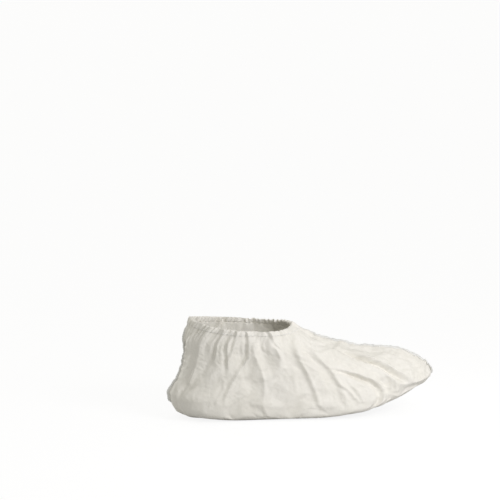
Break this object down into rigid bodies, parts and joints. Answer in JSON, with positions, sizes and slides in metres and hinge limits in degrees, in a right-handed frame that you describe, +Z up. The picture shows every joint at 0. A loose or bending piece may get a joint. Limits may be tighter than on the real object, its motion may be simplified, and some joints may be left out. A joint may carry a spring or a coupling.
{
  "type": "shoe cover",
  "caption": "White nonwoven overshoe with a gathered elastic opening at the ankle and overlocked seams over the instep and up the heel, for wearing over a shoe in clean work.",
  "frame": {"origin": "on the floor under the middle of the cover's length and width", "axes": "+X from heel to toe, +Z up from the floor, +Y to the left of the walking direction"},
  "size_m": [0.3203, 0.1066, 0.1187],
  "materials": {
    "sheet": "matt off-white spunbonded nonwoven with a faint silky sheen and fine crinkles",
    "hem": "the same nonwoven, finely gathered over elastic and stitched",
    "seam": "raw edge of two layers of nonwoven under white overlock thread"
  },
  "bodies": {
    "root": {"cover_body": "sheet", "elastic_hem": "hem", "instep_seam": "seam", "heel_seam": "seam"}
  },
  "joints": []
}
